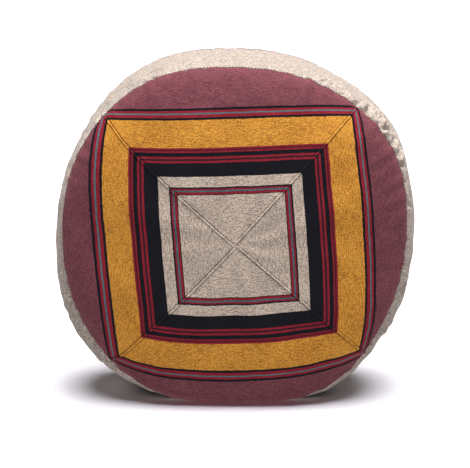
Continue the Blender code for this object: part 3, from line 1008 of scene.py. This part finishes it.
# Each yarn's light colour, its dark colour, and how strongly the two are mixed.
YARNS = {
    "beige": ((244, 224, 206), (126, 104, 92), 0.80),
    "dark": ((34, 30, 38), (22, 20, 26), 0.50),
    "navy": ((24, 24, 32), (14, 14, 20), 0.60),
    "red": ((164, 42, 56), (104, 26, 40), 0.60),
    "maroon": ((98, 30, 42), (62, 22, 32), 0.60),
    "teal": ((78, 124, 130), (44, 74, 82), 0.60),
    "grey_teal": ((98, 132, 138), (60, 80, 88), 0.60),
    "mustard": ((255, 184, 76), (160, 88, 32), 0.85),
    "plum": ((146, 84, 92), (90, 46, 56), 0.85),
}


def striped_cloth():
    """Heathered twill in concentric stripes. The second cloth coordinate is the distance from the middle."""
    shader = Shader("striped_cloth", Roughness=0.85, Sheen_Weight=0.04, Sheen_Roughness=0.45,
                    Specular_IOR_Level=0.12)
    place = shader.add("ShaderNodeUVMap", uv_map="cloth")
    parts = shader.tree.nodes.new("ShaderNodeSeparateXYZ")
    shader.tree.links.new(place, parts.inputs[0])
    along, out = parts.outputs[0], parts.outputs[1]
    wander = shader.noise(shader.stretch(place, (700, 900, 1)), 1.0)
    edge = shader.add("ShaderNodeMath", {0: wander, 1: 0.0008, 2: -0.0004}, operation="MULTIPLY_ADD")
    distance = shader.math("ADD", out, edge)
    share = shader.math("DIVIDE", distance, CLOTH_REACH)
    stops = [(start / CLOTH_REACH, linear(*YARNS[yarn][0])) for start, yarn in STRIPES]
    shades = [(start / CLOTH_REACH, linear(*YARNS[yarn][1])) for start, yarn in STRIPES]
    amounts = [(start / CLOTH_REACH, (YARNS[yarn][2],) * 3 + (1,)) for start, yarn in STRIPES]
    light = shader.ramp(share, stops, "CONSTANT")
    dark = shader.ramp(share, shades, "CONSTANT")
    amount = shader.ramp(share, amounts, "CONSTANT")
    streaks = shader.noise(shader.stretch(place, (130, 900, 1)), 1.0, 2.0, 0.6)
    grain = shader.noise(shader.stretch(place, (620, 620, 1)), 1.0, 1.0, 0.6)
    crossing = shader.add("ShaderNodeVectorMath", {0: shader.stretch(place, (1 / 0.0014, 1 / 0.0012, 1))},
                          operation="FLOOR")
    yarn_tone = shader.add("ShaderNodeTexWhiteNoise", {"Vector": crossing}, noise_dimensions="2D")
    mottle = shader.math("MULTIPLY_ADD", streaks, 0.5, shader.math("MULTIPLY", grain, 0.5))
    clouds = shader.noise(shader.stretch(place, (16, 22, 1)), 1.0, 3.0, 0.6)
    heather = shader.remap(mottle, 0.40, 0.60, -0.20, 0.75)
    heather = shader.math("MULTIPLY_ADD", yarn_tone, 0.46, heather)
    heather = shader.math("ADD", heather, shader.remap(clouds, 0.38, 0.66, -0.12, 0.16))
    heather = shader.add("ShaderNodeClamp", {"Value": heather})
    shade = shader.math("MULTIPLY", heather, amount)
    colour = shader.mix(shade, light, dark)
    flecks = shader.noise(shader.stretch(place, (230, 330, 1)), 1.0, 1.0, 0.5)
    fleck_share = shader.math("MULTIPLY", shader.remap(flecks, 0.67, 0.73, 0.0, 0.7), amount)
    colour = shader.mix(fleck_share, colour, linear(52, 36, 34))
    shader.colour(colour)
    diagonal = shader.math("ADD", along, out)
    wale = shader.math("SINE", shader.math("MULTIPLY", diagonal, 2 * math.pi / 0.0034))
    yarn = shader.math("SINE", shader.math("MULTIPLY", out, 2 * math.pi / 0.0016))
    weave = shader.math("MULTIPLY_ADD", wale, 0.6, shader.math("MULTIPLY", yarn, 0.4))
    height = shader.math("MULTIPLY_ADD", streaks, 2.0, weave)
    shader.bump(height, 0.00016)
    return shader.material


def tweed():
    """Oatmeal tweed: uneven yarns both ways, pale and brown, with dark flecks spun in."""
    shader = Shader("band_tweed", Roughness=0.9, Sheen_Weight=0.06, Sheen_Roughness=0.5,
                    Specular_IOR_Level=0.12)
    place = shader.add("ShaderNodeUVMap", uv_map="cloth")
    warp = shader.noise(shader.stretch(place, (170, 820, 1)), 1.0, 2.0, 0.6)
    weft = shader.noise(shader.stretch(place, (820, 170, 1)), 1.0, 2.0, 0.6)
    yarns = shader.math("MULTIPLY_ADD", warp, 0.5, shader.math("MULTIPLY", weft, 0.5))
    base = shader.ramp(yarns, [(0.38, linear(124, 108, 98)), (0.49, linear(190, 175, 163)),
                               (0.60, linear(224, 211, 199))])
    patches = shader.noise(shader.stretch(place, (60, 90, 1)), 1.0, 3.0, 0.6)
    base = shader.mix(shader.remap(patches, 0.46, 0.62, 0.0, 0.30), base, linear(150, 134, 126))
    along_flecks = shader.noise(shader.stretch(place, (210, 560, 1)), 1.0, 1.0, 0.5)
    across_flecks = shader.noise(shader.stretch(place, (560, 210, 7)), 1.0, 1.0, 0.5)
    spots = shader.math("MAXIMUM", along_flecks, across_flecks)
    dark = shader.remap(spots, 0.66, 0.72, 0.0, 0.85)
    shader.colour(shader.mix(dark, base, linear(78, 62, 56)))
    crossing = shader.stretch(place, (2 * math.pi / 0.0015, 2 * math.pi / 0.0015, 1))
    parts = shader.tree.nodes.new("ShaderNodeSeparateXYZ")
    shader.tree.links.new(crossing, parts.inputs[0])
    warp_wave = shader.math("SINE", parts.outputs[0])
    checks = shader.math("MULTIPLY", warp_wave, shader.math("SINE", parts.outputs[1]))
    height = shader.math("MULTIPLY_ADD", yarns, 3.0, shader.math("MULTIPLY", checks, 0.5))
    shader.bump(height, 0.00022)
    return shader.material


def plain_weave(name, first, second, pitch, roughness=0.85):
    """Plain cloth, fibre, nylon or thread in two near tones; pitch is the size of its grain."""
    shader = Shader(name, Roughness=roughness, Sheen_Weight=0.15, Specular_IOR_Level=0.2)
    place = shader.add("ShaderNodeTexCoord", output=3)
    streaks = shader.noise(place, 0.35 / pitch, 2.0, 0.6)
    shader.colour(shader.mix(shader.remap(streaks, 0.35, 0.65, 0, 1), linear(*first), linear(*second)))
    shader.bump(shader.noise(place, 1 / pitch, 1.0), pitch * 0.3)
    return shader.material


def metal(name):
    """Worn brass plating, darker in patches."""
    shader = Shader(name, Metallic=1.0, Roughness=0.35)
    place = shader.add("ShaderNodeTexCoord", output=3)
    patches = shader.noise(place, 700, 3.0, 0.6)
    shader.colour(shader.mix(patches, linear(176, 138, 84), linear(104, 78, 44)))
    shader.rough(shader.remap(patches, 0.3, 0.7, 0.28, 0.5))
    shader.bump(shader.noise(place, 2400, 2.0), 0.00003)
    return shader.material


striped = striped_cloth()
band_cloth = tweed()
calico = plain_weave("liner_calico", (226, 216, 192), (206, 194, 168), 0.0007)
fibre = plain_weave("filling_fibre", (238, 236, 230), (220, 217, 208), 0.0025, 0.95)
tape_cloth = plain_weave("zip_tape_cloth", (190, 176, 156), (160, 146, 126), 0.0005)
coil_nylon = plain_weave("zip_coil_nylon", (176, 160, 138), (150, 134, 112), 0.0009, 0.45)
brass = metal("zip_antique_brass")
cream_thread = plain_weave("cream_thread", (206, 192, 172), (176, 160, 140), 0.0004, 0.6)
dark_thread_and_fold_shade = plain_weave("dark_thread_and_fold_shade", (44, 30, 30), (24, 17, 20), 0.0004, 0.6)

# ---------------- pieces

cover_move = sew_and_fill()

PANELS = (("top", 90), ("right", 0), ("bottom", 270), ("left", 180))
for face, side in SIDES:
    rows = [make_panel(face + "_panel_" + word, math.radians(degrees), side, striped)
            for word, degrees in PANELS]
    thread_dashes("mitre_topstitching_" + face, [row["top"] for row in rows],
                  TOPSTITCH, dark_thread_and_fold_shade)
    # Dark thread in each mitre's fold gap: a real seam thread, and painted shade of that gap.
    thread_dashes("mitre_fold_thread_and_shade_" + face, [row["fold"] for row in rows],
                  FOLD_STITCH_AND_SHADE, dark_thread_and_fold_shade)

for face, side in SIDES:
    thread_dashes("seam_thread_" + face, [seam_line(side)], SEAM_STITCH, dark_thread_and_fold_shade)

facing_share = FACING_EDGE / (BAND_WIDTH / 2)
band = make_band_sheet("side_band", ZIP_TO, ZIP_FROM + 2 * math.pi, -1, 1, band_cloth)
make_band_sheet("zip_facing_front", ZIP_FROM, ZIP_TO, -1, -facing_share, band_cloth)
make_band_sheet("zip_facing_back", ZIP_FROM, ZIP_TO, facing_share, 1, band_cloth)

for face, side in SIDES:
    make_liner_face("liner_" + face, side, calico)
make_liner_band("liner_band", calico)
make_filling("filling", fibre)

for face, side in SIDES:
    make_tape("zip_tape_" + face, side, tape_cloth)
    make_coil("zip_teeth_" + face, side, coil_nylon)
    rounded_copy("zip_top_stop_" + face, STOP_EDGE, brass)
    thread_dashes("zip_topstitching_" + face, [facing_stitch_line(side)],
                  ZIP_STITCH, cream_thread)
rounded_copy("zip_bottom_stop", STOP_EDGE, brass)
rounded_copy("zip_slider", SLIDER_EDGE, brass, "zip_slider")
rounded_copy("zip_pull", PULL_EDGE, brass, "zip_pull")

# ---------------- floor, lights, camera

FLOOR_REACH = 40
SHADE_HALF_WIDTH = 0.15
SHADE_FRONT = -0.050
SHADE_BACK = 0.095


def studio_sheet(name, half_width, front, back, height, grain, first, second):
    """A level sheet of the studio, in two near tones."""
    corners = [(-half_width, front, height), (half_width, front, height),
               (half_width, back, height), (-half_width, back, height)]
    sheet = build_mesh(name, np.array(corners), np.array([[0, 1, 2, 3]]))
    shader = Shader(name, Roughness=0.9, Specular_IOR_Level=0.0)
    place = shader.add("ShaderNodeTexCoord", output=3)
    shader.colour(shader.mix(shader.noise(place, grain), linear(*first), linear(*second)))
    sheet.data.materials.append(shader.material)
    return sheet


floor = studio_sheet("floor", FLOOR_REACH, -FLOOR_REACH, FLOOR_REACH, 0, 3.0,
                     (247, 245, 252), (245, 243, 250))
floor.visible_diffuse = False

# Light from below comes from the world. This dark sheet takes it away where the cushion shades the floor.
shade = studio_sheet("floor_in_shade", SHADE_HALF_WIDTH, SHADE_FRONT, SHADE_BACK, -0.001, 8.0,
                     (34, 32, 36), (28, 26, 30))
shade.visible_camera = False
shade.visible_shadow = False

FLOOR_GLOW = 1.02      # light thrown back up by the pale floor
SKY_GLOW = 0.05        # light from the room above
OVERHEAD = 1.86        # light from the softbox, on a level surface
SOFTBOX_ANGLE = 46     # how wide the softbox looks from the floor, in degrees
SOFTBOX_AIM = (-0.06, 0.05, -1)


def studio_world():
    """Soft light all round: brighter from the floor than from the dim room above."""
    world = bpy.data.worlds.new("studio")
    world.use_nodes = True
    tree = world.node_tree
    place = tree.nodes.new("ShaderNodeTexCoord")
    parts = tree.nodes.new("ShaderNodeSeparateXYZ")
    spread = tree.nodes.new("ShaderNodeMapRange")
    tree.links.new(place.outputs["Generated"], parts.inputs[0])
    tree.links.new(parts.outputs[2], spread.inputs["Value"])
    for socket, value in (("From Min", -0.25), ("From Max", 0.25),
                          ("To Min", FLOOR_GLOW), ("To Max", SKY_GLOW)):
        spread.inputs[socket].default_value = value
    background = tree.nodes["Background"]
    background.inputs[0].default_value = (0.98, 0.98, 1.0, 1.0)
    tree.links.new(spread.outputs[0], background.inputs[1])
    return world


bpy.context.scene.world = studio_world()
softbox = bpy.data.lights.new("softbox", "SUN")
softbox.energy = OVERHEAD * math.pi
softbox.angle = math.radians(SOFTBOX_ANGLE)
softbox_lamp = add_object("softbox", softbox)
softbox_lamp.location = (0, -0.2, 3)
softbox_lamp.rotation_euler = Vector(SOFTBOX_AIM).to_track_quat("-Z", "Y").to_euler()

CAMERA_DISTANCE = 3.4
CAMERA_ELEVATION = math.radians(15.5)
AIM = Vector((0.0, 0.0, 0.2065))
PICTURE_SPAN = 0.60442          # width of the picture at the cushion, in metres
SENSOR_WIDTH = 36
camera_data = bpy.data.cameras.new("camera")
camera_data.sensor_width = SENSOR_WIDTH
camera_data.lens = SENSOR_WIDTH * CAMERA_DISTANCE / PICTURE_SPAN
camera_data.clip_end = 50
camera = add_object("camera", camera_data)
direction = Vector((0, -math.cos(CAMERA_ELEVATION), math.sin(CAMERA_ELEVATION)))
camera.location = AIM + direction * CAMERA_DISTANCE
camera.rotation_euler = (-direction).to_track_quat("-Z", "Y").to_euler()
bpy.context.scene.camera = camera
bpy.context.scene.view_settings.view_transform = "Standard"
